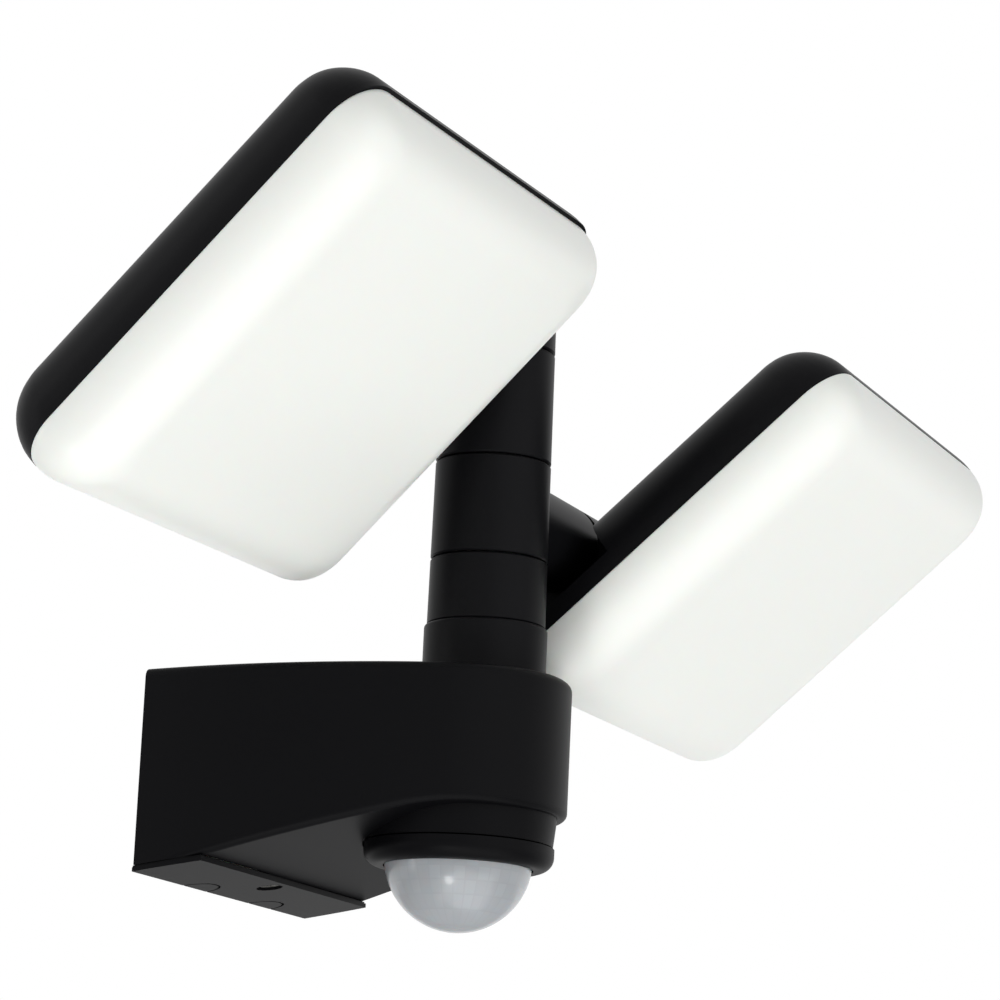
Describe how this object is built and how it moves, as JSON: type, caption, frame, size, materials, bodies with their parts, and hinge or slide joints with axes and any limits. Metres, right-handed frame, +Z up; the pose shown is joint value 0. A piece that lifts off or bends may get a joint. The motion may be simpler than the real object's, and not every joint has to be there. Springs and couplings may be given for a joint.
{
  "type": "motion sensor security light",
  "caption": "Wall light with two tilting square flood heads on a short pole above a wedge housing with a domed motion sensor beneath.",
  "frame": {"origin": "centre of the wall plate's back face, where it meets the wall", "axes": "+Z up, +Y into the wall, -Y out from the wall, +X to the viewer's right when facing the wall"},
  "size_m": [0.2952, 0.1497, 0.1742],
  "materials": {
    "housing_plastic": "satin moulded",
    "opal_diffuser": "satin opal",
    "lens_plastic": "milky, finely ribbed inside",
    "seal_rubber": "matt",
    "zinc_steel": "zinc plated",
    "nylon": "natural",
    "circuit_board": "solder mask",
    "led_phosphor": "cast resin",
    "component_case": "moulded",
    "sensor_can": "plated"
  },
  "bodies": {
    "base": {"wall_plate": "housing_plastic", "wall_gasket": "seal_rubber", "cable_grommet": "seal_rubber", "housing_shell": "housing_plastic", "housing_screw": "zinc_steel", "terminal_block": "component_case", "terminal_screws": "zinc_steel", "control_board": "circuit_board", "control_board_screws": "zinc_steel", "relay": "component_case", "capacitor": "component_case", "pole_collar": "housing_plastic", "pole_lock_nut": "zinc_steel", "tie_rod": "zinc_steel", "lower_tube": "housing_plastic", "middle_tube": "housing_plastic", "hub_rings": "nylon", "cap_nut": "zinc_steel"},
    "sensor": {"sensor_bezel": "housing_plastic", "sensor_dome": "lens_plastic", "sensor_barrel": "housing_plastic", "sensor_retainer": "housing_plastic", "sensor_board": "circuit_board", "pyro_sensor": "sensor_can", "photocell": "component_case"},
    "lower_arm": {"lower_hub": "housing_plastic", "right_tilt_washer": "nylon", "right_tilt_nut": "zinc_steel"},
    "upper_arm": {"upper_hub": "housing_plastic", "pole_cap": "housing_plastic", "left_tilt_washer": "nylon", "left_tilt_nut": "zinc_steel"},
    "right_head": {"right_head_housing": "housing_plastic", "right_head_seal": "seal_rubber", "right_diffuser": "opal_diffuser", "right_led_board": "circuit_board", "right_leds": "led_phosphor", "right_board_screws": "zinc_steel", "right_led_driver": "component_case"},
    "left_head": {"left_head_housing": "housing_plastic", "left_head_seal": "seal_rubber", "left_diffuser": "opal_diffuser", "left_led_board": "circuit_board", "left_leds": "led_phosphor", "left_board_screws": "zinc_steel", "left_led_driver": "component_case"}
  },
  "joints": [
    {"name": "lower_pan", "type": "hinge", "parent": "base", "child": "lower_arm", "pos_m": [0, -0.06671, 0.068], "axis": [0, 0, 1], "range_deg": [-45, 16]},
    {"name": "right_tilt", "type": "hinge", "parent": "lower_arm", "child": "right_head", "pos_m": [0, -0.06671, 0.068], "axis": [0.9999, 0.014, 0], "range_deg": [-48.9, 41.1]},
    {"name": "upper_pan", "type": "hinge", "parent": "base", "child": "upper_arm", "pos_m": [0, -0.06671, 0.1266], "axis": [0, 0, 1], "range_deg": [-4, 45]},
    {"name": "left_tilt", "type": "hinge", "parent": "upper_arm", "child": "left_head", "pos_m": [0, -0.06671, 0.1266], "axis": [0.9999, -0.0122, 0], "range_deg": [-45.5, 6.5]},
    {"name": "sensor_swivel", "type": "hinge", "parent": "base", "child": "sensor", "pos_m": [0, -0.06241, -0.0126], "axis": [0, 0, 1], "range_deg": [-60, 60]}
  ]
}
